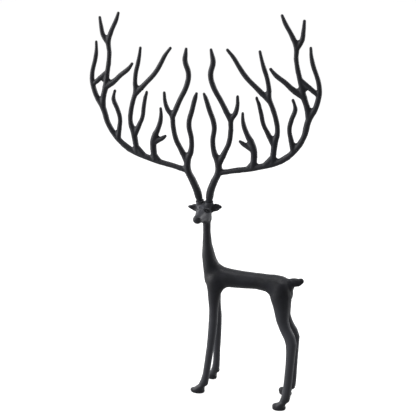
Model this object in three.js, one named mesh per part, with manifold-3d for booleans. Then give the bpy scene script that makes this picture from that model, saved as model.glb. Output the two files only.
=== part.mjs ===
// Cast iron stag: it stands square on four slim legs and turns its head to its left, under a wide branching
// pair of antlers. Torso, neck, head, legs and tail are one casting. Each antler is a flat casting of its own,
// and its foot sits in a rimmed socket on the head.
// Millimetres, +Z up. The body lies along X with the rump at +X, and the face looks along -Y.

import * as THREE from "three";
import { mergeVertices } from "three/addons/utils/BufferGeometryUtils.js";
import Module from "manifold-3d";

// Finish
const IRON_COLOUR = 0x34353a;
const IRON_ROUGHNESS = 0.55;
const IRON_METALNESS = 0.4;

// How finely the round forms are stepped
const LONGEST_STEP = 28;
const STEP_BEND = THREE.MathUtils.degToRad(20);
const BODY_SIDES = 14;
const LEG_SIDES = 10;
const TINE_SIDES = 7;
const CAP_RINGS = 2;
const MERGE_DISTANCE = 1e-4;

// Torso, chest to rump: place along the body, middle height, half width, half height
const TORSO = [
  [10, 205, 8, 12],
  [21, 204, 13.5, 16],
  [40, 202.5, 14, 14.2],
  [64, 202.5, 13, 13],
  [88, 203.5, 12.5, 12],
  [110, 202.5, 13.5, 13.2],
  [128, 201, 14.5, 14.8],
  [139, 201.5, 10, 11],
];

// Neck, chest to skull: place along the body, middle height, half width, half length
const NECK = [
  [13.4, 194, 11.5, 12.6],
  [9.6, 220, 11.3, 11.6],
  [5.6, 238, 9.5, 9.6],
  [3.8, 256, 6.8, 6.7],
  [3, 276, 5.2, 5],
  [3, 302, 5.4, 5.4],
];

// Withers, the hollow curve from the back of the neck down to the back
const WITHERS = [
  [5.4, 236, 6.4, 6.4],
  [12.8, 219.6, 9, 9],
  [28, 208.2, 10.5, 10.5],
  [50, 203, 11.5, 11.5],
];

// Tail, rump to tip: place along the body, middle height, half width, half height
const TAIL = [
  [136, 207.5, 5, 6],
  [147, 208, 4.6, 6],
  [155, 209.6, 4, 5.6],
  [160.6, 213.6, 3, 4],
];

// Head, back of the skull to the nose: distance in front of the neck, middle height, half width, half height
const HEAD = [
  [-7, 308, 7, 9],
  [-2, 308, 10, 14],
  [5, 308, 11.8, 15.5],
  [12, 308.2, 10.8, 13],
  [19, 307.4, 8.4, 9],
  [28, 306.6, 7, 7],
  [36.4, 306.2, 6.4, 5.9],
];
const NOSE_BLUNTNESS = 0.55;
// The poll, the crown between the antlers: middle, and half sizes across, along and up
const POLL = { middle: [0, 0, 320], half: [4.4, 6, 7] };
// Left eye: middle and half sizes
const EYE = { middle: [7.4, -13, 314.4], half: [2.6, 3.2, 2.6] };

// Ears: height of the root, distance of the tip from the middle plane, its height, half height of the blade
const LEFT_EAR = { side: 1, root: 315.6, out: 26.8, height: 321, blade: 6.6 };
const RIGHT_EAR = { side: -1, root: 314.2, out: 26, height: 315, blade: 5.6 };
const EAR_ROOT_OUT = 8;
const EAR_THICKNESS = 2.4;
// Ear, root to tip: share of the way, share of the half thickness, share of the half height
const EAR_PROFILE = [
  [0, 1.4, 1],
  [0.35, 1, 0.9],
  [0.65, 0.9, 0.94],
  [0.9, 0.6, 0.55],
  [1, 0.4, 0.2],
];
// The hollow in the front of an ear: share of the way to the tip, half length, half depth, share of the blade
const EAR_HOLLOW = { share: 0.52, along: 7, deep: 1.7, blade: 0.66 };

// Front leg, shoulder to pastern: height, set back from the hoof, half length, half width
const FRONT_LEG = [
  [202, 24, 12, 9],
  [190, 25.4, 14.5, 9],
  [180, 23.2, 11, 8.4],
  [168, 22.6, 8.8, 7.5],
  [150, 22.8, 6.7, 6.3],
  [130, 22.8, 6.7, 6],
  [110, 21.6, 6.6, 6],
  [88, 19.7, 5.8, 5.3],
  [60, 16.2, 5.3, 4.9],
  [35, 13.2, 5.4, 5],
  [21, 10.6, 6.3, 5.7],
  [12.5, 6.5, 5.7, 5.2],
  [8.5, 4.2, 4.2, 4.4],
];

// Hind leg, hip to pastern: height, set back from the hoof, half length, half width
const HIND_LEG = [
  [202, -8, 13.5, 10],
  [186, -8.2, 16.6, 11],
  [170, -5.4, 12.9, 9.4],
  [148, -2.9, 9.4, 7.3],
  [134, 2.6, 8.4, 6.6],
  [121, 10.2, 8.6, 6.3],
  [111, 13.6, 8.5, 6.4],
  [98, 13.8, 7.2, 6.1],
  [76, 13.4, 6.4, 5.7],
  [48, 12.2, 6.1, 5.4],
  [33, 11.4, 6.4, 5.5],
  [21.5, 10.2, 6.7, 5.8],
  [12.5, 6.3, 5.7, 5.2],
  [8.5, 3.8, 4.2, 4.4],
];

// Stance: the middle of each hoof on the ground, how far its leg leaves the body from the middle plane, and
// how much further forward the leg stands for each millimetre of height
const LEGS = [
  { profile: FRONT_LEG, hoofX: -3.9, hoofY: -23, hipY: -8, forward: 0, hoofHalf: 11 },
  { profile: FRONT_LEG, hoofX: -1, hoofY: 31, hipY: 8, forward: 0.046, hoofHalf: 11 },
  { profile: HIND_LEG, hoofX: 137.6, hoofY: -29.2, hipY: -7, forward: 0, hoofHalf: 9.8 },
  { profile: HIND_LEG, hoofX: 135.2, hoofY: 20.5, hipY: 7, forward: 0, hoofHalf: 9.8 },
];
const HIP_HEIGHT = 190;

// Hoof, sole to pastern: height, set back from the middle of the sole, share of the sole's length, half width
const HOOF = [
  [0, -1, 0.97, 6.1],
  [2, -0.6, 0.97, 6.3],
  [5.5, 0.5, 0.86, 6.2],
  [9.5, 3.4, 0.69, 5.8],
  [14, 6.4, 0.5, 5.2],
];
const HOOF_SIDES = 14;
const TOE_OUT = THREE.MathUtils.degToRad(9);

// Antlers: they lie in one plane that leans forward from the head
const ANTLER_LEAN = THREE.MathUtils.degToRad(5.82);
const ANTLER_LEAN_HEIGHT = 304.5;
// Their stems bow forward of that plane between these heights
const STEM_BOW = { reach: 2.2, from: 323.5, to: 405 };
const ROOT_BULGE = 0.5;
const SOCKET_HEIGHT = 4.5;
const SOCKET_WALL = 1.4;
const SEAT_GAP = 0.3;

// Each limb of the left antler, root to tip: distance from the middle of the head, height, half thickness
const ANTLER_TRUNK = [
  [7.3, 323.5, 4.4], [8.3, 330, 5.1], [11.5, 346, 5.4], [18.2, 362.5, 5.1], [25, 377, 5.1], [25.5, 392, 5],
  [19, 410, 4], [17.4, 427, 3.6], [20.6, 451.5, 3.7], [13.6, 476.5, 3.6], [8.2, 494, 3.1], [6, 500, 1.9],
];
const ANTLER_LIMBS = [
  // Main beam and the outer tine it turns up into
  [
    [24, 376.8, 4.2], [45, 381.8, 3.9], [88, 391.3, 4.2], [131, 408.6, 4.3], [157.2, 439.2, 3.9],
    [167.2, 472, 4.4], [174, 483.5, 3.9], [179.3, 499.5, 3.9], [181.2, 515.5, 3.4], [170.6, 552.5, 3],
    [168.6, 563, 2.4], [167.8, 572.5, 1.3],
  ],
  // The stem beside the inner tine, with its short tine and its long one
  [
    [26.5, 392, 4.8], [36.5, 411.5, 3.9], [43.5, 426.5, 3.7], [47, 446.5, 3.5], [48.2, 463, 3.6],
    [54.3, 472, 3.3], [58.3, 484.5, 2.8], [58.9, 498.5, 1.4],
  ],
  [
    [47.3, 461, 3.8], [34.8, 486.5, 3.7], [20.3, 514.5, 3.7], [17.6, 529.5, 3.7], [22.2, 549, 3.7],
    [20.8, 559, 2.9], [19.6, 566, 1.5],
  ],
  // First upright on the beam, and its spur
  [
    [81, 391, 4.6], [83, 408, 4.8], [81.2, 424.5, 4.7], [73.2, 440.5, 3.8], [67.2, 456.5, 3.3],
    [66, 467, 2.4], [66.4, 473.5, 1.3],
  ],
  [[81, 419, 4.6], [70, 424.3, 3.4], [64.5, 427.6, 2.8], [61.2, 430, 1.7]],
  // Second upright, its small tine, and the long tine that leaves it for the middle
  [
    [112, 401, 4.4], [113.5, 416.5, 4.3], [115.3, 431, 4.5], [119.6, 448.5, 3.5], [117.8, 465.5, 3.5],
    [111.8, 485.5, 3.4], [107, 498, 3.8], [107, 510.5, 3.2], [104.6, 526.5, 3.1], [99.6, 542.5, 3],
    [96, 556, 2.4], [94, 565.5, 1.3],
  ],
  [
    [114, 428, 4.2], [104.5, 446, 3.4], [98.3, 458.5, 3.1], [94.8, 475.5, 3.1], [92, 488, 2.6],
    [88.4, 498, 1.2],
  ],
  [
    [107, 495, 3.9], [90, 511, 3.5], [72, 528.6, 3.4], [61.8, 543.2, 3.2], [54, 555.6, 2.7],
    [44.8, 566.4, 1.2],
  ],
  // Third upright
  [
    [143.5, 422, 4], [140.5, 436.5, 3.4], [137.7, 453.5, 3.2], [141, 468.5, 3.3], [146.4, 483.5, 3.2],
    [145.4, 491.5, 2.3], [143.2, 497.5, 1.3],
  ],
  // Inner upright with the top fork, the long tine below it, and the link to the outer tine
  [
    [166.5, 470, 4.4], [164, 486.5, 4], [158.5, 503.5, 4.2], [154.6, 520.5, 3.7], [147.2, 556.5, 3.1],
    [147.2, 573, 3.6], [141, 588.5, 3.1], [131, 606, 2.8], [126.6, 616.2, 1.5],
  ],
  [[148, 571, 3.6], [155, 582.5, 3.2], [157.4, 596.5, 2.8], [158.4, 609.4, 1.3]],
  [
    [159, 502.5, 4.5], [145, 511.2, 4], [130, 523.2, 3.5], [118, 531.8, 3.2], [112.8, 537.2, 2.4],
    [109.8, 541, 1.3],
  ],
  [[155.5, 525.5, 3.3], [165, 518, 3.3], [172, 512, 3.3], [180, 506, 3.3]],
  // Webs of metal in the forks and where the uprights leave the beam
  [[27.5, 398, 4], [28, 404.5, 3.2]],
  [[48.5, 468, 3.4], [49.4, 472.2, 2.6]],
  [[105, 499, 3.4], [103.2, 503.4, 2.6]],
  [[146.6, 427, 3.6], [147.6, 433, 2.8]],
  [[148.2, 575, 3.4], [149.2, 580.6, 2.6]],
  [[73, 388.6, 3.4], [80.5, 396.5, 4]],
  [[100, 395.5, 4.2], [110.5, 407, 4.2]],
];

const X_AXIS = new THREE.Vector3(1, 0, 0);
const Y_AXIS = new THREE.Vector3(0, 1, 0);
const Z_AXIS = new THREE.Vector3(0, 0, 1);
const ANTLER_NORMAL = new THREE.Vector3(0, -Math.cos(ANTLER_LEAN), -Math.sin(ANTLER_LEAN));

const wasm = await Module();
wasm.setup();

// The radius that gives a ring of straight sides the length of the circle it stands for
function ringRadius(sides) {
  const halfTurn = Math.PI / sides;
  return halfTurn / Math.sin(halfTurn);
}

// A ball drawn out along a smooth route: each of its rings is moved to a place on the route and given the
// half widths there. Stations are { at, across, deep }, and across lies along the reference direction. The
// ends bulge by a share of their half width, and an end with no bulge is flat. The rings stand square to the
// route, or all face one way where that is given.
function drawOut(stations, { reference, sides, facing = null, startBulge = 1, endBulge = 1 }) {
  const route = new THREE.CatmullRomCurve3(stations.map((station) => station.at));
  const girth = new THREE.CatmullRomCurve3(
    stations.map((station) => new THREE.Vector3(station.across, station.deep, 0)),
  );
  const rings = [];
  const capRings = (u, bulge) => {
    const size = girth.getPoint(u);
    const reach = bulge * Math.min(size.x, size.y);
    const count = bulge > 0 ? CAP_RINGS : 1;
    return [...Array(count).keys()].map((k) => {
      const angle = (k / count) * (Math.PI / 2);
      return { u, share: Math.sin(angle), ahead: reach * Math.cos(angle) };
    });
  };
  rings.push(...capRings(0, startBulge).map((ring) => ({ ...ring, ahead: -ring.ahead })));
  rings.push({ u: 0, share: 1, ahead: 0 });
  const spans = stations.length - 1;
  for (let span = 0; span < spans; span++) {
    const length = stations[span].at.distanceTo(stations[span + 1].at);
    const bend = route.getTangent(span / spans).angleTo(route.getTangent((span + 1) / spans));
    const steps = Math.max(1, Math.round(length / LONGEST_STEP), Math.round(bend / STEP_BEND));
    for (let step = 1; step <= steps; step++) {
      rings.push({ u: (span + step / steps) / spans, share: 1, ahead: 0 });
    }
  }
  rings.push(...capRings(1, endBulge).reverse());

  const geometry = new THREE.SphereGeometry(1, sides, rings.length - 1);
  const positions = geometry.attributes.position;
  const radius = ringRadius(sides);
  for (let i = 0; i < positions.count; i++) {
    const ring = rings[Math.floor(i / (sides + 1))];
    const turn = ((i % (sides + 1)) + 0.5) * ((2 * Math.PI) / sides);
    const along = facing?.clone() ?? route.getTangent(ring.u);
    const across = reference.clone().addScaledVector(along, -reference.dot(along)).normalize();
    const deep = along.clone().cross(across);
    const size = girth.getPoint(ring.u).multiplyScalar(radius * ring.share);
    const point = route.getPoint(ring.u).addScaledVector(along, ring.ahead);
    point.addScaledVector(across, -Math.cos(turn) * size.x);
    point.addScaledVector(deep, Math.sin(turn) * size.y);
    positions.setXYZ(i, point.x, point.y, point.z);
  }
  return geometry;
}

// A closed mesh as a solid that can be joined and cut
function solidOf(geometry) {
  geometry.deleteAttribute("normal");
  geometry.deleteAttribute("uv");
  const merged = mergeVertices(geometry, MERGE_DISTANCE);
  const vertProperties = Float32Array.from(merged.attributes.position.array);
  const triVerts = Uint32Array.from(merged.index.array);
  return new wasm.Manifold(new wasm.Mesh({ numProp: 3, vertProperties, triVerts }));
}

// A ball of unequal half sizes
function ball({ middle, half }) {
  const geometry = new THREE.SphereGeometry(1, LEG_SIDES, LEG_SIDES / 2);
  geometry.scale(...half);
  geometry.translate(...middle);
  return solidOf(geometry);
}

function joined(solids) {
  return solids.reduce((whole, solid) => whole.add(solid));
}

function meshOf(solid, name) {
  const { vertProperties, triVerts } = solid.getMesh();
  const geometry = new THREE.BufferGeometry();
  geometry.setAttribute("position", new THREE.BufferAttribute(vertProperties, 3));
  geometry.setIndex(new THREE.BufferAttribute(triVerts, 1));
  geometry.computeVertexNormals();
  const material = new THREE.MeshStandardMaterial({
    color: IRON_COLOUR,
    roughness: IRON_ROUGHNESS,
    metalness: IRON_METALNESS,
  });
  const mesh = new THREE.Mesh(geometry, material);
  mesh.name = name;
  return mesh;
}

// A form in the middle plane of the body, from rows of place, height, half width and half depth
function bodyForm(rows, sides = BODY_SIDES) {
  const stations = rows.map(([x, z, across, deep]) => ({ at: new THREE.Vector3(x, 0, z), across, deep }));
  return solidOf(drawOut(stations, { reference: Y_AXIS, sides }));
}

function head() {
  const stations = HEAD.map(([forward, z, across, deep]) => ({
    at: new THREE.Vector3(0, -forward, z),
    across,
    deep,
  }));
  return solidOf(drawOut(stations, { reference: X_AXIS, sides: BODY_SIDES, endBulge: NOSE_BLUNTNESS }));
}

// A place on the middle line of an ear, at a share of the way from root to tip
function earPlace({ side, root, out, height }, share) {
  const x = side * THREE.MathUtils.lerp(EAR_ROOT_OUT, out, share);
  return new THREE.Vector3(x, 0, THREE.MathUtils.lerp(root, height, share));
}

function ear(shape) {
  const stations = EAR_PROFILE.map(([share, thickness, blade]) => ({
    at: earPlace(shape, share),
    across: EAR_THICKNESS * thickness,
    deep: shape.blade * blade,
  }));
  const whole = solidOf(drawOut(stations, { reference: Y_AXIS, sides: LEG_SIDES }));
  const { x, z } = earPlace(shape, EAR_HOLLOW.share);
  const half = [EAR_HOLLOW.along, EAR_HOLLOW.deep, shape.blade * EAR_HOLLOW.blade];
  return whole.subtract(ball({ middle: [x, -EAR_THICKNESS, z], half }));
}

function leg({ profile, hoofX, hoofY, hipY, forward }) {
  const stations = profile.map(([z, back, deep, across]) => ({
    at: new THREE.Vector3(
      hoofX + back - forward * z,
      THREE.MathUtils.lerp(hoofY, hipY, Math.min(z / HIP_HEIGHT, 1)),
      z,
    ),
    across,
    deep,
  }));
  return solidOf(drawOut(stations, { reference: Y_AXIS, sides: LEG_SIDES, endBulge: 0 }));
}

function hoof({ hoofX, hoofY, hoofHalf }) {
  const stations = HOOF.map(([z, back, share, across]) => ({
    at: new THREE.Vector3(hoofX + back, hoofY, z),
    across,
    deep: hoofHalf * share,
  }));
  const reference = Y_AXIS.clone().applyAxisAngle(Z_AXIS, -Math.sign(hoofY) * TOE_OUT);
  const shape = { reference, sides: HOOF_SIDES, facing: Z_AXIS, startBulge: 0, endBulge: 0 };
  return solidOf(drawOut(stations, shape));
}

// How far forward of the head an antler lies at a height
function antlerForward(z) {
  const share = THREE.MathUtils.clamp((z - STEM_BOW.from) / (STEM_BOW.to - STEM_BOW.from), 0, 1);
  return (z - ANTLER_LEAN_HEIGHT) * Math.tan(ANTLER_LEAN) + STEM_BOW.reach * Math.sin(Math.PI * share);
}

// Rows of an antler limb placed on the leaning plane, on the chosen side, with some extra thickness
function antlerStations(rows, side, extra = 0) {
  return rows.map(([out, z, half]) => ({
    at: new THREE.Vector3(side * out, -antlerForward(z), z),
    across: half + extra,
    deep: half + extra,
  }));
}

function antlerLimb(stations, options = {}) {
  const shape = { reference: ANTLER_NORMAL, sides: TINE_SIDES, ...options };
  return solidOf(drawOut(stations, shape));
}

function antler(side) {
  const trunk = antlerLimb(antlerStations(ANTLER_TRUNK, side), { startBulge: 0 });
  const limbs = ANTLER_LIMBS.map((rows) => antlerLimb(antlerStations(rows, side), { startBulge: ROOT_BULGE }));
  return joined([trunk, ...limbs]);
}

// The collar that stands round an antler's foot, before the foot's seat is cut out of it
function socket(side) {
  const [foot, next] = antlerStations(ANTLER_TRUNK, side, SOCKET_WALL);
  const along = next.at.clone().sub(foot.at).normalize();
  const stations = [-SOCKET_HEIGHT, 0, SOCKET_HEIGHT].map((distance) => ({
    ...foot,
    at: foot.at.clone().addScaledVector(along, distance),
  }));
  return antlerLimb(stations, { endBulge: 0, sides: LEG_SIDES });
}

// The foot's shape with its clearance, let down by the same clearance
function seat(side) {
  const stations = antlerStations(ANTLER_TRUNK, side, SEAT_GAP);
  stations[0].at.z -= SEAT_GAP;
  return antlerLimb(stations, { startBulge: 0 });
}

function stagBody() {
  const forms = [TORSO, NECK, WITHERS, TAIL].map((rows) => bodyForm(rows));
  const limbs = LEGS.flatMap((stance) => [leg(stance), hoof(stance)]);
  const [x, y, z] = EYE.middle;
  const eyes = [1, -1].map((side) => ball({ ...EYE, middle: [side * x, y, z] }));
  const ears = [LEFT_EAR, RIGHT_EAR].map(ear);
  const sockets = [1, -1].map(socket);
  const whole = joined([...forms, head(), ball(POLL), ...ears, ...eyes, ...limbs, ...sockets]);
  return whole.subtract(seat(1)).subtract(seat(-1));
}

const stag = new THREE.Group();
stag.add(meshOf(stagBody(), "stag_body"));
stag.add(meshOf(antler(1), "antler_left"));
stag.add(meshOf(antler(-1), "antler_right"));

export default stag;
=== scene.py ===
# Cast iron stag: the skin of its castings, its face, ears and hooves, and its blackened finish, over the
# solids. Metres, +Z up. The body lies along X with the rump at +X, and the face looks along -Y.

import math

import bpy
from mathutils import Euler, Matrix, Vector


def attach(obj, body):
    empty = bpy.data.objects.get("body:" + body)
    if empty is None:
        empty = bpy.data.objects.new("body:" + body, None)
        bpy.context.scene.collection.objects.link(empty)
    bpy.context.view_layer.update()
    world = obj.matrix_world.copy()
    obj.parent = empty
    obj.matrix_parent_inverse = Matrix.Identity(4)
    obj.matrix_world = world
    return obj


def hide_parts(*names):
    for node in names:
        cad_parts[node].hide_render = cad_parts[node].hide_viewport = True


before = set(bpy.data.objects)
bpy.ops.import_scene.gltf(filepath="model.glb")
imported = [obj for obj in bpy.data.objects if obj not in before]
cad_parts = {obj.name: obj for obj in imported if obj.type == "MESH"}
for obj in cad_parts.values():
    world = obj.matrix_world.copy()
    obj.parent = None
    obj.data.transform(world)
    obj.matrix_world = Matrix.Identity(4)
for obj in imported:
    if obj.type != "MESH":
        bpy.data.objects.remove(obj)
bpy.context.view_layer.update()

# Sizes are in millimetres and degrees, and MM turns them to metres
MM = 0.001

# Skin of the castings: the voxels that wrap the antlers, the body and the face
ANTLER_VOXEL = 0.6
FORM_VOXEL = 0.7
FACE_VOXEL = 0.5
# Smoothing: its rounds, and how far the skin then swells to give back what they take
ANTLER_SMOOTHING = (9, 0.45)
JOINT_SMOOTHING = (350, 1)
TRUNK_SMOOTHING = (80, 0.5)
NECK_SMOOTHING = (10, 0.5)
FACE_SMOOTHING = (40, 0.2)
FORM_SMOOTHING = (12, 0.75)
NAPE_SMOOTHING = (110, 0.5)
FEATURE_SMOOTHING = (7, 0.08)
LAST_ROUNDS = 4
ROUND_STEP = 0.5
# Webs in the forks of an antler: how far the skin swells to close them, and how far from the root of a limb
# it does so in full and not at all
FORK_WEB = 2.6
FORK_FULL = 14
FORK_END = 24
# Slow waves in the skin
WAVE_SIZE = 18
WAVE_HEIGHT = 0.45
# Thinning, which leaves the head as it is
HEAD_FLOOR = 290
MOST_TRIANGLES = 190000
# Sharpest turn that is shaded smooth, and how near two points are when they are one
CREASE = 45
SAME_POINT = 0.002
# Facets of the forms before they are skinned, and steps of a weight
LUMP_SEGMENTS = 32
LUMP_RINGS = 16
PEDICLE_SIDES = 48
COLLAR_SIDES = 64
BEAD_SIDES = 16
LIMB_BEVEL = 6
LIMB_STEPS = 10
WEIGHT_STEPS = 10

# Regions that are smoothed apart. Each pair is one edge of a region: where its weight is 0, and where 1.
NECK_FLOOR = (238, 258)
NECK_TOP = (300, 290)
TRUNK_FLOOR = (115, 125)
TRUNK_TOP = (255, 245)
TRUNK_REAR = (142, 134)
JOINT_SIDE = (5, 10)
SHOULDER_FLOOR = (178, 188)
SHOULDER_TOP = (245, 235)
SHOULDER_REAR = (50, 40)
HIP_FLOOR = (150, 165)
HIP_TOP = (214, 208)
HIP_FRONT = (96, 104)
HIP_REAR = (142, 136)
HIP_SHARE = 0.6
FACE_SIDE = (13, 11)
FACE_BACK = (-2, -5)
FACE_FLOOR = (293, 297)
FACE_TOP = (323, 320)
NAPE_FRONT = (1, 5)
NAPE_FLOOR = (276, 284)
NAPE_TOP = (323, 319)
NAPE_SIDE = (14, 11)
EAR_SIDE = (12, 14)
EAR_FLOOR = (300, 304)
EAR_SPARED = 0.7

# Round forms: name, middle, half sizes, turn. One off the middle plane is made on both sides of it. The
# body's middle plane is XZ, and the head's is YZ because the head is turned.
BODY_SWELLINGS = [
    ("hip", (120, 7, 199), (14, 7.8, 14), (0, 8, 0)),
    ("croup", (117, 0, 204.8), (20, 9, 12.2), (0, 2, 0)),
    ("hip_point", (107, 6.6, 206), (8, 4.6, 6), (0, 0, 0)),
    ("rump", (138, 0, 190), (9, 10, 15), (0, 0, 0)),
    ("tail_root", (149, 0, 209.6), (12, 4.6, 6.2), (0, -6, 0)),
    ("tail_tip", (157.5, 0, 211.8), (6.2, 3.8, 4), (0, -15, 0)),
    ("flank", (112.5, 6, 192.2), (7.5, 7, 4.2), (0, 38, 0)),
    ("elbow_fold", (33, 5.5, 190), (8, 6, 4.6), (0, -30, 0)),
    ("withers", (16, 0, 226), (5, 6, 10), (0, -33, 0)),
]
HEAD_SWELLINGS = [
    ("brow", (6.4, -11.6, 318.2), (2.6, 6.6, 1.9), (-16, 0, -34)),
    ("cheek", (7.4, -7.5, 304), (3.8, 8, 7.5), (0, 0, 0)),
    ("cheekbone", (6.6, -19.5, 310.6), (2, 6.5, 1.8), (-8, 0, -18)),
    ("jaw_angle", (5.2, 1, 299.5), (5.6, 6.5, 9), (0, 0, 0)),
    ("nape", (0, 8, 297), (5, 5.5, 15), (-18, 0, 0)),
    ("nose_bridge", (0, -24, 312.8), (2.6, 12, 1.9), (6, 0, 0)),
    ("nose_pad", (0, -37.4, 308.2), (5.6, 2.9, 4), (0, 0, 0)),
    ("jaw", (0, -27, 302), (4.6, 11, 3.4), (-4, 0, 0)),
]
EAR_SWELLINGS = [
    ("left_ear_blade", (16.6, 0, 317.6), (8, 2.4, 6.2), (0, -14, 0)),
    ("left_ear_tip", (18.8, 0, 318.6), (10.2, 2.2, 4.6), (0, -12, 0)),
    ("left_ear_root", (12.4, 0.3, 312.6), (5.6, 3, 3), (0, -35, 0)),
    ("right_ear_blade", (-16.2, 0, 314.9), (7.6, 2.4, 6.3), (0, 8, 0)),
    ("right_ear_tip", (-19, 0, 314.9), (10.6, 2.2, 4.1), (0, 4, 0)),
    ("right_ear_root", (-13, 0.3, 310.6), (6, 3, 3.2), (0, 35, 0)),
]
EAR_HOLLOWS = [
    ("left_ear_hollow", (18, -3.1, 318.2), (7.2, 2.6, 4.2), (0, -15, 0)),
    ("right_ear_hollow", (-18, -3.1, 314.7), (7.2, 2.6, 3.8), (0, 9, 0)),
]
FACE_CUTS = [
    ("eye_hollow", (9.4, -14.4, 315.2), (4, 6.8, 3), (-18, 0, -36)),
    ("nostril", (3.9, -39.2, 308.8), (1.3, 2.8, 1), (0, 40, -25)),
]
EYEBALLS = [("eyeball", (5.2, -12.5, 314.6), (2.3, 3.8, 2.3), (-18, 0, -36))]

# Hooves: the middle of each sole, the reach and half height of its toe, and how far the toes turn out
HOOVES = [(-4.9, -23, 12.4, 3.4), (-2, 31, 11.4, 3.4), (136.6, -29.2, 9.6, 4.8), (134.2, 20.5, 10.8, 5.6)]
TOE_OUT = 9
# Round forms of a hoof, placed from the middle of its sole
HOOF_SWELLINGS = [
    ("fetlock", (12.4, 0, 17.8), (5, 4.8, 3.4), (0, 20, 0)),
    ("heel", (6.8, 0, 3.2), (4.8, 5.2, 3.6), (0, 0, 0)),
]
TOE_HALF = (7, 4.6)
HOOF_CUTS = [("pastern_hollow", (14.8, 0, 10), (3.6, 9, 2.7), (0, 0, 0))]

# Antlers: they lie in one plane that leans forward from the head, and their stems bow forward of it
ANTLER_LEAN = 5.82
ANTLER_LEAN_HEIGHT = 304.5
STEM_BOW = 2.2
STEM_BOW_FROM = 323.5
STEM_BOW_TO = 405
TIP_HALF = 2
# Each limb of the left antler, root to tip: distance from the middle of the head, height, half thickness
ANTLER_TRUNK = [
    (7.3, 323.5, 4.1), (8.2, 330, 4.7), (9.2, 335.5, 5.7), (11.5, 346, 5.8), (18.2, 362.5, 5.2), (25, 377, 5),
    (25.5, 392, 5), (19, 410, 4), (17.4, 427, 3.6), (20.6, 451.5, 3.7), (13.6, 476.5, 3.6), (8.2, 494, 3.1),
    (6, 500, 1.9),
]
ANTLER_LIMBS = [
    # Main beam and the outer tine it turns up into
    [
        (24, 376.8, 4.2), (45, 381.8, 3.9), (88, 391.3, 4.2), (131, 408.6, 4.3), (157.2, 439.2, 3.9),
        (167.2, 472, 4.4), (174, 483.5, 3.9), (179.3, 499.5, 3.9), (181.2, 515.5, 3.4), (170.6, 552.5, 3),
        (168.6, 563, 2.4), (167.8, 572.5, 1.3),
    ],
    # The stem beside the inner tine, with its short tine and its long one
    [
        (26.5, 392, 4.8), (36.5, 411.5, 3.9), (43.5, 426.5, 3.7), (47, 446.5, 3.5), (48.2, 463, 3.6),
        (54.3, 472, 3.3), (58.3, 484.5, 2.8), (58.9, 498.5, 1.4),
    ],
    [
        (47.3, 461, 3.8), (34.8, 486.5, 3.7), (20.3, 514.5, 3.7), (17.6, 529.5, 3.7), (22.2, 549, 3.7),
        (20.8, 559, 2.9), (19.6, 566, 1.5),
    ],
    # First upright on the beam, and its spur
    [
        (81, 391, 4.6), (83, 408, 4.8), (81.2, 424.5, 4.7), (73.2, 440.5, 3.8), (67.2, 456.5, 3.3),
        (66, 467, 2.4), (66.4, 473.5, 1.3),
    ],
    [(81, 419, 4.6), (70, 424.3, 3.4), (64.5, 427.6, 2.8), (61.2, 430, 1.7)],
    # Second upright, its small tine, and the long tine that leaves it for the middle
    [
        (112, 401, 4.4), (113.5, 416.5, 4.3), (115.3, 431, 4.5), (119.6, 448.5, 3.5), (117.8, 465.5, 3.5),
        (111.8, 485.5, 3.4), (107, 498, 3.8), (107, 510.5, 3.2), (104.6, 526.5, 3.1), (99.6, 542.5, 3),
        (96, 556, 2.4), (94, 565.5, 1.3),
    ],
    [
        (114, 428, 4.2), (104.5, 446, 3.4), (98.3, 458.5, 3.1), (94.8, 475.5, 3.1), (92, 488, 2.6),
        (88.4, 498, 1.2),
    ],
    [
        (107, 495, 3.9), (90, 511, 3.5), (72, 528.6, 3.4), (61.8, 543.2, 3.2), (54, 555.6, 2.7),
        (44.8, 566.4, 1.2),
    ],
    # Third upright
    [
        (143.5, 422, 4), (140.5, 436.5, 3.4), (137.7, 453.5, 3.2), (141, 468.5, 3.3), (146.4, 483.5, 3.2),
        (145.4, 491.5, 2.3), (143.2, 497.5, 1.3),
    ],
    # Inner upright with the top fork, the long tine below it, and the link to the outer tine
    [
        (166.5, 470, 4.4), (164, 486.5, 4), (158.5, 503.5, 4.2), (154.6, 520.5, 3.7), (147.2, 556.5, 3.1),
        (147.2, 573, 3.6), (141, 588.5, 3.1), (131, 606, 2.8), (126.6, 616.2, 1.5),
    ],
    [(148, 571, 3.6), (155, 582.5, 3.2), (157.4, 596.5, 2.8), (158.4, 609.4, 1.3)],
    [
        (159, 502.5, 4.5), (145, 511.2, 4), (130, 523.2, 3.5), (118, 531.8, 3.2), (112.8, 537.2, 2.4),
        (109.8, 541, 1.3),
    ],
    [(155.5, 525.5, 3.3), (165, 518, 3.3), (172, 512, 3.3), (180, 506, 3.3)],
    # Metal on the inner side of the uprights where they leave the beam
    [(73, 388.6, 3.4), (80.5, 396.5, 4)],
    [(100, 395.5, 4.2), (110.5, 407, 4.2)],
]

# The seat of an antler: where its foot stands, how it leans forward and out, and the collar round it
FOOT = (7.3, -1.94, 323.5)
FOOT_LEAN = (10.5, 8.7)
SEAT_RADIUS = 5.4
SEAT_DEPTH = 1.3
COLLAR_HEIGHT = 4.4
COLLAR_RADIUS = 6.1
COLLAR_BEAD = 0.75
PEDICLE_DEPTH = 6
PEDICLE_FOOT = 7.4

# Finish: the blacking where it is thickest and thinnest, painted shade in hollows, and a paler grey for
# rubbed edges and lighter parts
BLACKING = ("#131419", "#202128")
# Near black of the painted shade in hollows
HOLLOW_PAINTED_SHADE = "#07070a"
PALE_IRON = "#4a4b51"
# Clouds in the blacking, and the span of their noise from thick to thin
CLOUD_SIZE = 20
CLOUD_SPAN = (0.35, 0.7)
# Pebble of the mould: sand is finer than this, and is drawn this coarse so that it shows
PEBBLE_SIZE = 1.6
PEBBLE_DEPTH = 0.25
PEBBLE_STRENGTH = 0.35
PEBBLE_SPAN = (0.3, 0.7)
# Edges and points: how thin the metal is there, and the span from unrubbed to rubbed
THIN_METAL = 1.8
THIN_SPAN = (0.75, 0.25)
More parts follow.
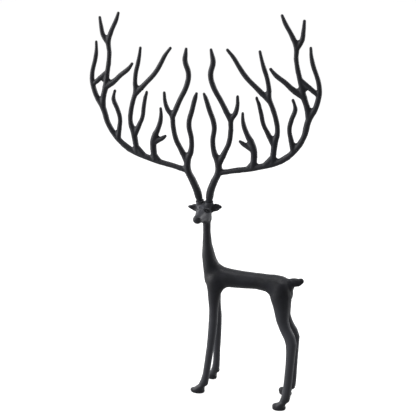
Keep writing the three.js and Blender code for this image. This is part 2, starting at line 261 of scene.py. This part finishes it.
# Painted shade in hollows: how near their walls are, the span from open to shut in, and how dark it makes
# them
HOLLOW_REACH = 5
HOLLOW_SPAN = (0.85, 0.45)
HOLLOW_SHADE_DEPTH = 0.9
# Rays that find edges and hollows
FEELERS = 8
# The part of the face that is made lighter: its middle and its reach
FACE_MIDDLE = (2, -14, 309)
FACE_REACH = 30
# How far the blacking is rubbed off on edges, and how much lighter grey the face and each height get: the
# legs most, the trunk none, and the neck, head and antlers a little
EDGE_WEAR = 0.7
FACE_LIGHTENING = 0.6
LIGHTENING_BY_HEIGHT = [(5, 0.1), (30, 0.62), (130, 0.62), (190, 0), (225, 0), (265, 0.25), (360, 0.14)]
SPECULAR = 0.32
ROUGHNESS = (0.42, 0.57)
# Sockets of a node that mixes two colours: the colours, and what it gives
MIX_FIRST = 6
MIX_SECOND = 7
MIX_RESULT = 2

# View: the photo's camera
VIEW_AZIMUTH = 20.3
VIEW_ELEVATION = 16.41
VIEW_TARGET = Vector((5, 0, 316.2)) * MM
VIEW_DISTANCE = 1238.5 * MM
VIEW_LENS = 67.5
VIEW_SENSOR = 36

# Walls: brightness behind the statue and in front of it, and its shares under the floor and overhead
WHITE = "#ffffff"
WALL_BEHIND = 1.5
WALL_IN_FRONT = 0.26
UNDER_FLOOR = 0.7
OVERHEAD = 0.3
# Where those shares begin and are reached, from -1 straight down to 1 straight up
FLOOR_SPAN = (-0.2, 0.05)
OVERHEAD_SPAN = (0.2, 0.8)
# Paper of the floor and the backdrop, with the floor's width and the backdrop's radius in metres
PAPER = "#bababa"
PAPER_GLOW = 0.8
FLOOR_WIDTH = 60
FLOOR_DROP = 0.2
BACKDROP_RADIUS = 25
# Lamps: name, place and width in metres, power
LAMPS = [
    ("top_box", (0, 0, 2.2), 0.8, 18),
    ("left_box", (-1.1, -0.3, 0.65), 1.4, 24),
    ("right_box", (1.3, 1.2, 1), 1.2, 22),
]


def linear(code):
    """An sRGB hex colour as linear red, green, blue and alpha."""
    channels = [int(code[i:i + 2], 16) / 255 for i in (1, 3, 5)]
    return [c / 12.92 if c <= 0.04045 else ((c + 0.055) / 1.055) ** 2.4 for c in channels] + [1]


def ramp(value, start, end):
    """0 at start and before it, 1 at end and past it, in even steps between."""
    return min(max((value - start) / (end - start), 0), 1)


def only(piece):
    """Leaves one piece selected and active."""
    bpy.ops.object.select_all(action="DESELECT")
    piece.select_set(True)
    bpy.context.view_layer.objects.active = piece


def use(piece, kind, **settings):
    """Adds a modifier with its settings and applies it."""
    modifier = piece.modifiers.new(kind.lower(), kind)
    for name, value in settings.items():
        setattr(modifier, name, value)
    only(piece)
    bpy.ops.object.modifier_apply(modifier=modifier.name)


def copy_of(node, name):
    """A copy of a solid's mesh with its loose triangles merged, and nothing else of the solid."""
    piece = bpy.data.objects.new(name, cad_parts[node].data.copy())
    bpy.context.scene.collection.objects.link(piece)
    piece.data.materials.clear()
    only(piece)
    bpy.ops.object.mode_set(mode="EDIT")
    bpy.ops.mesh.select_all(action="SELECT")
    bpy.ops.mesh.remove_doubles(threshold=SAME_POINT * MM)
    bpy.ops.object.mode_set(mode="OBJECT")
    return piece


def settle(name):
    """Names the form just added, and settles its place, turn and size into its mesh."""
    form = bpy.context.object
    form.name = name
    bpy.ops.object.transform_apply(location=True, rotation=True, scale=True)
    return form


def lump(name, middle, half, turn):
    """A round form, to be joined to a casting or cut from it."""
    bpy.ops.object.select_all(action="DESELECT")
    bpy.ops.mesh.primitive_uv_sphere_add(
        segments=LUMP_SEGMENTS,
        ring_count=LUMP_RINGS,
        radius=1,
        location=Vector(middle) * MM,
        rotation=[math.radians(angle) for angle in turn],
        scale=Vector(half) * MM,
    )
    return settle(name)


def gather(piece, forms):
    """Puts forms into a casting's mesh. The next skin runs them together with it."""
    bpy.ops.object.select_all(action="DESELECT")
    for form in forms:
        form.select_set(True)
    piece.select_set(True)
    bpy.context.view_layer.objects.active = piece
    bpy.ops.object.join()


def combine(piece, forms, operation):
    """Joins forms to the casting at sharp edges, or cuts them out, and removes them."""
    for form in forms:
        use(piece, "BOOLEAN", operation=operation, object=form, solver="MANIFOLD")
        bpy.data.objects.remove(form)


def lumps(rows, across=None):
    """Round forms from a list, each with its mirror image if there is a middle plane and it is off it."""
    forms = []
    for name, middle, half, turn in rows:
        forms.append(lump(name, middle, half, turn))
        if across is not None and middle[across]:
            place = [-c if axis == across else c for axis, c in enumerate(middle)]
            angles = [c if axis == across else -c for axis, c in enumerate(turn)]
            forms.append(lump(name, place, half, angles))
    return forms


def hoof_lumps(rows, toes=False):
    """The round forms of a hoof for all four, each turned out with its toe, and the toes too if asked."""
    forms = []
    for sole_x, sole_y, reach, half_height in HOOVES:
        out = -math.copysign(TOE_OUT, sole_y)
        turned = Euler((0, 0, math.radians(out))).to_matrix()
        hoof_rows = list(rows)
        if toes:
            toe_middle = (TOE_HALF[0] - reach, 0, half_height)
            hoof_rows.append(("toe", toe_middle, (*TOE_HALF, half_height), (0, 0, 0)))
        for name, middle, half, (tilt_x, tilt_y, _) in hoof_rows:
            place = Vector((sole_x, sole_y, 0)) + turned @ Vector(middle)
            forms.append(lump(name, place, half, (tilt_x, tilt_y, out)))
    return forms


def weigh(piece, weight):
    """A vertex group whose weights, in even steps, follow from each point's place in millimetres."""
    group = piece.vertex_groups.new(name="weights")
    steps = {}
    for point in piece.data.vertices:
        steps.setdefault(round(WEIGHT_STEPS * weight(point.co / MM)), []).append(point.index)
    for step, points in steps.items():
        group.add(points, step / WEIGHT_STEPS, "REPLACE")
    return group.name


def swell(piece, height, weight=None):
    """Moves a skin out, or in by a height below zero, all over or by a weight at each place."""
    group = weigh(piece, weight) if weight else ""
    use(piece, "DISPLACE", strength=height * MM, mid_level=0, vertex_group=group)
    piece.vertex_groups.clear()


def relax(piece, rounds, weight=None):
    """Smooths a skin, all over or by a weight at each place."""
    group = weigh(piece, weight) if weight else ""
    use(piece, "SMOOTH", factor=ROUND_STEP, iterations=rounds, vertex_group=group)
    piece.vertex_groups.clear()


def soften(piece, smoothing, weight=None):
    """Smooths a skin and gives back what that takes, all over or by a weight at each place."""
    rounds, height = smoothing
    relax(piece, rounds, weight)
    swell(piece, height, weight)


def skin(piece, voxel):
    """Wraps the joined forms of a casting in one even skin."""
    use(piece, "REMESH", mode="VOXEL", voxel_size=voxel * MM)


def fill_forks(piece):
    """Webs of metal in the forks of an antler: the skin swells there until they close up, and draws back."""
    for height in (FORK_WEB, -FORK_WEB):
        swell(piece, height, on_forks)
        skin(piece, ANTLER_VOXEL)


def uneven(piece):
    """The slow waves of the sand mould in the skin of a casting."""
    waves = bpy.data.textures.new(piece.name + "_waves", "CLOUDS")
    waves.noise_scale = WAVE_SIZE * MM
    waves.noise_depth = 1
    use(piece, "DISPLACE", texture=waves, texture_coords="LOCAL", strength=WAVE_HEIGHT * MM, mid_level=0.5)


def thin(piece, weight=None):
    """Thins a skin to the most triangles that a piece has, by a weight at each place where one is given."""
    group = weigh(piece, weight) if weight else ""
    piece.data.calc_loop_triangles()
    ratio = MOST_TRIANGLES / len(piece.data.loop_triangles)
    if ratio < 1:
        use(piece, "DECIMATE", ratio=ratio, vertex_group=group, vertex_group_factor=1)
    piece.vertex_groups.clear()


def foot_line(side):
    """The foot of an antler, the direction it leans in, and the turn that gives that."""
    turn = Euler((math.radians(FOOT_LEAN[0]), math.radians(FOOT_LEAN[1] * side), 0))
    foot = Vector((FOOT[0] * side, FOOT[1], FOOT[2]))
    return foot, turn.to_matrix() @ Vector((0, 0, 1)), turn


def pedicle(side):
    """The stump on the head that carries an antler."""
    foot, along, turn = foot_line(side)
    length = PEDICLE_DEPTH + COLLAR_HEIGHT
    bpy.ops.object.select_all(action="DESELECT")
    bpy.ops.mesh.primitive_cone_add(
        vertices=PEDICLE_SIDES,
        radius1=PEDICLE_FOOT * MM,
        radius2=(COLLAR_RADIUS + COLLAR_BEAD / 2) * MM,
        depth=length * MM,
        location=(foot + along * (COLLAR_HEIGHT - length / 2)) * MM,
        rotation=turn,
    )
    return settle("pedicle")


def collar(side):
    """The bead round the foot of an antler."""
    foot, along, turn = foot_line(side)
    bpy.ops.object.select_all(action="DESELECT")
    bpy.ops.mesh.primitive_torus_add(
        major_radius=COLLAR_RADIUS * MM,
        minor_radius=COLLAR_BEAD * MM,
        major_segments=COLLAR_SIDES,
        minor_segments=BEAD_SIDES,
        location=(foot + along * COLLAR_HEIGHT) * MM,
        rotation=turn,
    )
    return settle("collar")


def seat(side):
    """The round hole that the foot of an antler stands in, to be cut out of the pedicle and its collar."""
    foot, along, turn = foot_line(side)
    length = SEAT_DEPTH + 2 * COLLAR_HEIGHT
    bpy.ops.object.select_all(action="DESELECT")
    bpy.ops.mesh.primitive_cylinder_add(
        vertices=COLLAR_SIDES,
        radius=SEAT_RADIUS * MM,
        depth=length * MM,
        location=(foot + along * (length / 2 - SEAT_DEPTH)) * MM,
        rotation=turn,
    )
    return settle("seat")


def level_soles(piece):
    """Cuts the hooves off flat at the ground."""
    only(piece)
    bpy.ops.object.mode_set(mode="EDIT")
    bpy.ops.mesh.select_all(action="SELECT")
    bpy.ops.mesh.bisect(
        plane_co=(0, 0, 0),
        plane_no=(0, 0, 1),
        use_fill=True,
        clear_inner=True,
        threshold=SAME_POINT * MM,
    )
    bpy.ops.object.mode_set(mode="OBJECT")


def on_neck(p):
    """The upper neck, as far as the throat."""
    return ramp(p.z, *NECK_FLOOR) * ramp(p.z, *NECK_TOP)


def on_trunk(p):
    """Chest, back, belly and thighs, without the tail."""
    return ramp(p.z, *TRUNK_FLOOR) * ramp(p.z, *TRUNK_TOP) * ramp(p.x, *TRUNK_REAR)


def on_joints(p):
    """The outer sides of the shoulders, and in part of the hips."""
    shoulder = ramp(p.z, *SHOULDER_FLOOR) * ramp(p.z, *SHOULDER_TOP) * ramp(p.x, *SHOULDER_REAR)
    hip = ramp(p.z, *HIP_FLOOR) * ramp(p.z, *HIP_TOP) * ramp(p.x, *HIP_FRONT) * ramp(p.x, *HIP_REAR)
    return ramp(abs(p.y), *JOINT_SIDE) * max(shoulder, HIP_SHARE * hip)


def on_face(p):
    """Face and jaw, without the ears and the crown."""
    upright = ramp(p.z, *FACE_FLOOR) * ramp(p.z, *FACE_TOP)
    return ramp(abs(p.x), *FACE_SIDE) * ramp(p.y, *FACE_BACK) * upright


def on_nape(p):
    """The back of the head and the top of the neck."""
    upright = ramp(p.z, *NAPE_FLOOR) * ramp(p.z, *NAPE_TOP)
    return ramp(p.y, *NAPE_FRONT) * upright * ramp(abs(p.x), *NAPE_SIDE)


def off_ears(p):
    """All but the ears, which are so thin that they take little smoothing."""
    return 1 - EAR_SPARED * ramp(abs(p.x), *EAR_SIDE) * ramp(p.z, *EAR_FLOOR)


def on_forks(p):
    """Round the roots of an antler's limbs."""
    nearest = min(math.hypot(abs(p.x) - rows[0][0], p.z - rows[0][1]) for rows in ANTLER_LIMBS)
    return ramp(nearest, FORK_END, FORK_FULL)


def below_head(p):
    """Where the skin may be coarser than on the head."""
    return 1 if p.z < HEAD_FLOOR else 0


def antler_place(out, z, side):
    """A place on an antler by its distance from the middle of the head and its height."""
    lean = (z - ANTLER_LEAN_HEIGHT) * math.tan(math.radians(ANTLER_LEAN))
    bow = STEM_BOW * math.sin(math.pi * ramp(z, STEM_BOW_FROM, STEM_BOW_TO))
    return Vector((out * side, -(lean + bow), z))


def limb(rows, side, round_root=True):
    """One limb of an antler: a tube along a smooth curve, with a ball at its tip and, if asked, its root."""
    bpy.ops.object.select_all(action="DESELECT")
    bpy.ops.curve.primitive_bezier_curve_add()
    tube = bpy.context.object
    tube.name = "limb"
    tube.location = (0, 0, 0)
    curve = tube.data
    curve.dimensions = "3D"
    curve.bevel_depth = MM
    curve.bevel_resolution = LIMB_BEVEL
    curve.resolution_u = LIMB_STEPS
    curve.use_fill_caps = True
    spline = curve.splines[0]
    spline.radius_interpolation = "CARDINAL"
    # A new curve has two points
    spline.bezier_points.add(len(rows) - 2)
    for point, (out, z, half) in zip(spline.bezier_points, rows):
        point.co = antler_place(out, z, side) * MM
        point.radius = max(half, TIP_HALF)
        point.handle_left_type = "AUTO"
        point.handle_right_type = "AUTO"
    bpy.ops.object.convert(target="MESH")
    forms = [bpy.context.object]
    round_ends = [rows[0], rows[-1]] if round_root else [rows[-1]]
    for out, z, half in round_ends:
        size = max(half, TIP_HALF)
        forms.append(lump("limb_end", antler_place(out, z, side), (size, size, size), (0, 0, 0)))
    return forms


def antler_casting(node, side):
    """An antler: its limbs run together into one rounded skin."""
    forms = limb(ANTLER_TRUNK, side, round_root=False)
    for rows in ANTLER_LIMBS:
        forms += limb(rows, side)
    piece = forms[0]
    gather(piece, forms[1:])
    piece.name = node + "_casting"
    skin(piece, ANTLER_VOXEL)
    fill_forks(piece)
    soften(piece, ANTLER_SMOOTHING)
    uneven(piece)
    thin(piece)
    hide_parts(node)
    return piece


def smooth_body():
    """Body, legs and hooves as smooth forms, with the plain form of the head."""
    piece = copy_of("stag_body", "stag_body_casting")
    gather(piece, lumps(BODY_SWELLINGS, across=1) + hoof_lumps(HOOF_SWELLINGS, toes=True))
    skin(piece, FORM_VOXEL)
    soften(piece, JOINT_SMOOTHING, on_joints)
    soften(piece, TRUNK_SMOOTHING, on_trunk)
    soften(piece, NECK_SMOOTHING, on_neck)
    soften(piece, FACE_SMOOTHING, on_face)
    soften(piece, FORM_SMOOTHING, off_ears)
    combine(piece, hoof_lumps(HOOF_CUTS), "DIFFERENCE")
    return piece


def shape_head(piece):
    """The features of the head run into it, and the hollows of its eyes, nostrils and ears."""
    gather(piece, lumps(HEAD_SWELLINGS, across=0) + lumps(EAR_SWELLINGS) + [pedicle(1), pedicle(-1)])
    skin(piece, FORM_VOXEL)
    soften(piece, NAPE_SMOOTHING, on_nape)
    soften(piece, FEATURE_SMOOTHING)
    combine(piece, lumps(FACE_CUTS, across=0) + lumps(EAR_HOLLOWS), "DIFFERENCE")
    skin(piece, FACE_VOXEL)
    relax(piece, LAST_ROUNDS)


def body_casting():
    """Body, legs and head: smooth forms, then the head, and last what has sharp edges."""
    piece = smooth_body()
    shape_head(piece)
    uneven(piece)
    combine(piece, lumps(EYEBALLS, across=0) + [collar(1), collar(-1)], "UNION")
    combine(piece, [seat(1), seat(-1)], "DIFFERENCE")
    thin(piece, below_head)
    level_soles(piece)
    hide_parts("stag_body")
    return piece


def node_in(tree, kind, settings=None, links=None):
    """Adds a shader node with its settings, and sets or links its inputs by name."""
    node = tree.nodes.new(kind)
    for name, value in (settings or {}).items():
        setattr(node, name, value)
    for name, value in (links or {}).items():
        if isinstance(value, bpy.types.NodeSocket):
            tree.links.new(value, node.inputs[name])
        else:
            node.inputs[name].default_value = value
    return node


def empty_material(name):
    """A new material with nothing in its node tree."""
    made = bpy.data.materials.new(name)
    made.use_nodes = True
    made.node_tree.nodes.clear()
    return made


def cloudy_blacking(tree, place):
    """The colour of the blacking, in clouds from thick to thin."""
    clouds = node_in(tree, "ShaderNodeTexNoise", {}, {
        "Vector": place, "Scale": 1 / (CLOUD_SIZE * MM), "Detail": 4.0, "Roughness": 0.6})
    black = node_in(tree, "ShaderNodeValToRGB", {}, {"Fac": clouds.outputs["Fac"]})
    for stop, position, colour in zip(black.color_ramp.elements, CLOUD_SPAN, BLACKING):
        stop.position = position
        stop.color = linear(colour)
    return black.outputs["Color"]


def edge_wear(tree):
    """Rubbing on edges and points, where the metal is thin behind the surface."""
    thin_metal = node_in(
        tree, "ShaderNodeAmbientOcclusion", {"samples": FEELERS, "inside": True, "only_local": True}, {
            "Distance": THIN_METAL * MM})
    edges = node_in(tree, "ShaderNodeMapRange", {}, {
        "Value": thin_metal.outputs["AO"], "From Min": THIN_SPAN[0], "From Max": THIN_SPAN[1],
        "To Min": 0.0, "To Max": EDGE_WEAR})
    return edges.outputs["Result"]


def lighter_face(tree, place):
    """Lighter grey on the face, less and less away from its middle."""
    from_face = node_in(tree, "ShaderNodeVectorMath", {"operation": "DISTANCE"}, {
        0: place, 1: Vector(FACE_MIDDLE) * MM})
    face = node_in(tree, "ShaderNodeMapRange", {"interpolation_type": "SMOOTHSTEP"}, {
        "Value": from_face.outputs["Value"],
        "From Min": FACE_REACH * MM, "From Max": 0.5 * FACE_REACH * MM,
        "To Min": 0.0, "To Max": FACE_LIGHTENING})
    return face.outputs["Result"]


def lighter_by_height(tree, place):
    """Lighter grey by height: most on the legs, none on the trunk, a little on the neck, head and antlers."""
    top = LIGHTENING_BY_HEIGHT[-1][0]
    height = node_in(tree, "ShaderNodeSeparateXYZ", {}, {"Vector": place})
    rise = node_in(tree, "ShaderNodeMapRange", {}, {
        "Value": height.outputs["Z"], "From Min": 0.0, "From Max": top * MM})
    height_lightening = node_in(tree, "ShaderNodeValToRGB", {}, {"Fac": rise.outputs["Result"]})
    stops = height_lightening.color_ramp.elements
    while len(stops) < len(LIGHTENING_BY_HEIGHT):
        stops.new(0.5)
    for stop, (z, wear) in zip(stops, LIGHTENING_BY_HEIGHT):
        stop.position = z / top
        stop.color = (wear, wear, wear, 1)
    return height_lightening.outputs["Color"]


def painted_hollow_shade(tree):
    """Painted shade: hollows are darkened towards near black, the more the nearer their walls are."""
    open_sky = node_in(tree, "ShaderNodeAmbientOcclusion", {"samples": FEELERS, "only_local": True}, {
        "Distance": HOLLOW_REACH * MM})
    hollow = node_in(tree, "ShaderNodeMapRange", {}, {
        "Value": open_sky.outputs["AO"], "From Min": HOLLOW_SPAN[0], "From Max": HOLLOW_SPAN[1],
        "To Min": 0.0, "To Max": HOLLOW_SHADE_DEPTH})
    return hollow.outputs["Result"]


def blackened_iron():
    """Sand cast iron, blackened and waxed: a cool charcoal satin that is nearly black face on and greys at
    grazing angles. The blacking is cloudy and is rubbed greyer on edges and points. The colour is lighter on
    the face and by height, most on the legs, and hollows are darkened with painted shade."""
    made = empty_material("blackened_cast_iron")
    tree = made.node_tree
    place = node_in(tree, "ShaderNodeTexCoord").outputs["Object"]
    # A paler grey on rubbed edges, and lighter grey on the face and by height
    face_and_height_lightening = node_in(tree, "ShaderNodeMath", {"operation": "MAXIMUM"}, {
        0: lighter_by_height(tree, place), 1: lighter_face(tree, place)})
    wear_and_lightening = node_in(tree, "ShaderNodeMath", {"operation": "MAXIMUM"}, {
        0: edge_wear(tree), 1: face_and_height_lightening.outputs["Value"]})
    worn_and_lightened = node_in(tree, "ShaderNodeMix", {"data_type": "RGBA"}, {
        "Factor": wear_and_lightening.outputs["Value"],
        MIX_FIRST: cloudy_blacking(tree, place), MIX_SECOND: linear(PALE_IRON)})
    # Painted shade: the colour is darkened towards near black in hollows
    colour = node_in(tree, "ShaderNodeMix", {"data_type": "RGBA"}, {
        "Factor": painted_hollow_shade(tree),
        MIX_FIRST: worn_and_lightened.outputs[MIX_RESULT], MIX_SECOND: linear(HOLLOW_PAINTED_SHADE)})
    pebble = node_in(tree, "ShaderNodeTexNoise", {}, {
        "Vector": place, "Scale": 1 / (PEBBLE_SIZE * MM), "Detail": 3.0, "Roughness": 0.55})
    polish = node_in(tree, "ShaderNodeMapRange", {}, {
        "Value": pebble.outputs["Fac"], "From Min": PEBBLE_SPAN[0], "From Max": PEBBLE_SPAN[1],
        "To Min": ROUGHNESS[0], "To Max": ROUGHNESS[1]})
    bump = node_in(tree, "ShaderNodeBump", {}, {
        "Height": pebble.outputs["Fac"], "Strength": PEBBLE_STRENGTH, "Distance": PEBBLE_DEPTH * MM})
    surface = node_in(tree, "ShaderNodeBsdfPrincipled", {}, {
        "Base Color": colour.outputs[MIX_RESULT], "Roughness": polish.outputs["Result"],
        "Normal": bump.outputs["Normal"], "Specular IOR Level": SPECULAR})
    node_in(tree, "ShaderNodeOutputMaterial", {}, {"Surface": surface.outputs["BSDF"]})
    return made


def studio_paper():
    """Seamless white paper that also glows: pale, matt and plain, with hardly a shadow."""
    made = empty_material("studio_paper")
    made.cycles.emission_sampling = "NONE"
    tree = made.node_tree
    paper = node_in(tree, "ShaderNodeBsdfDiffuse", {}, {"Color": linear(PAPER)})
    glow = node_in(tree, "ShaderNodeEmission", {}, {"Color": linear(WHITE), "Strength": PAPER_GLOW})
    surface = node_in(tree, "ShaderNodeAddShader", {}, {
        0: paper.outputs["BSDF"], 1: glow.outputs["Emission"]})
    node_in(tree, "ShaderNodeOutputMaterial", {}, {"Surface": surface.outputs["Shader"]})
    return made


def studio_walls():
    """White walls all round, brightest behind the statue and dimmest on the photo's side of it."""
    made = bpy.data.worlds.new("studio_walls")
    made.use_nodes = True
    tree = made.node_tree
    tree.nodes.clear()
    direction = node_in(tree, "ShaderNodeTexCoord").outputs["Generated"]
    azimuth = math.radians(VIEW_AZIMUTH)
    forward = node_in(tree, "ShaderNodeVectorMath", {"operation": "DOT_PRODUCT"}, {
        0: direction, 1: (math.sin(azimuth), -math.cos(azimuth), 0)})
    strength = node_in(tree, "ShaderNodeMapRange", {}, {
        "Value": forward.outputs["Value"], "From Min": -1.0, "From Max": 1.0,
        "To Min": WALL_BEHIND, "To Max": WALL_IN_FRONT})
    height = node_in(tree, "ShaderNodeSeparateXYZ", {}, {"Vector": direction})
    above = node_in(tree, "ShaderNodeMapRange", {}, {
        "Value": height.outputs["Z"], "From Min": FLOOR_SPAN[0], "From Max": FLOOR_SPAN[1],
        "To Min": UNDER_FLOOR, "To Max": 1.0})
    ceiling = node_in(tree, "ShaderNodeMapRange", {}, {
        "Value": height.outputs["Z"], "From Min": OVERHEAD_SPAN[0], "From Max": OVERHEAD_SPAN[1],
        "To Min": 1.0, "To Max": OVERHEAD})
    shade = node_in(tree, "ShaderNodeMath", {"operation": "MULTIPLY"}, {
        0: ceiling.outputs["Result"], 1: above.outputs["Result"]})
    light = node_in(tree, "ShaderNodeMath", {"operation": "MULTIPLY"}, {
        0: strength.outputs["Result"], 1: shade.outputs["Value"]})
    walls = node_in(tree, "ShaderNodeBackground", {}, {
        "Color": linear(WHITE), "Strength": light.outputs["Value"]})
    node_in(tree, "ShaderNodeOutputWorld", {}, {"Surface": walls.outputs["Background"]})
    return made


def soft_box(name, place, size, power):
    """A large square lamp that faces the statue."""
    light = bpy.data.lights.new(name, "AREA")
    light.shape = "SQUARE"
    light.size = size
    light.energy = power
    lamp = bpy.data.objects.new(name, light)
    bpy.context.scene.collection.objects.link(lamp)
    lamp.location = place
    lamp.rotation_mode = "QUATERNION"
    lamp.rotation_quaternion = (VIEW_TARGET - Vector(place)).to_track_quat("-Z", "Y")


def photo_camera():
    """A camera where the photo's one stood."""
    camera = bpy.data.objects.new("camera", bpy.data.cameras.new("camera"))
    bpy.context.scene.collection.objects.link(camera)
    azimuth = math.radians(VIEW_AZIMUTH)
    elevation = math.radians(VIEW_ELEVATION)
    back = Vector((
        math.sin(azimuth) * math.cos(elevation),
        -math.cos(azimuth) * math.cos(elevation),
        math.sin(elevation),
    ))
    camera.location = VIEW_TARGET + back * VIEW_DISTANCE
    camera.rotation_mode = "QUATERNION"
    camera.rotation_quaternion = (-back).to_track_quat("-Z", "Y")
    camera.data.sensor_width = VIEW_SENSOR
    camera.data.lens = VIEW_LENS
    return camera


# The statue
castings = [body_casting(), antler_casting("antler_left", 1), antler_casting("antler_right", -1)]
iron = blackened_iron()
for piece in castings:
    piece.data.materials.clear()
    piece.data.materials.append(iron)
    only(piece)
    bpy.ops.object.shade_smooth_by_angle(angle=math.radians(CREASE))
    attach(piece, "root")

# The floor and the backdrop
bpy.ops.object.select_all(action="DESELECT")
bpy.ops.mesh.primitive_plane_add(size=FLOOR_WIDTH, location=(0, 0, -FLOOR_DROP * MM))
floor = bpy.context.object
floor.name = "floor"
floor.data.materials.append(studio_paper())
bpy.ops.object.select_all(action="DESELECT")
bpy.ops.mesh.primitive_uv_sphere_add(radius=BACKDROP_RADIUS)
backdrop = bpy.context.object
backdrop.name = "backdrop"
backdrop.data.materials.append(floor.data.materials[0])
backdrop.visible_shadow = False
# The photo's white ground is cut out and throws no light at the statue, so this paper throws none either
for paper in (floor, backdrop):
    paper.visible_diffuse = False
    paper.visible_glossy = False

# The light and the camera
bpy.context.scene.world = studio_walls()
for lamp in LAMPS:
    soft_box(*lamp)
bpy.context.scene.camera = photo_camera()
bpy.context.scene.view_settings.view_transform = "Standard"
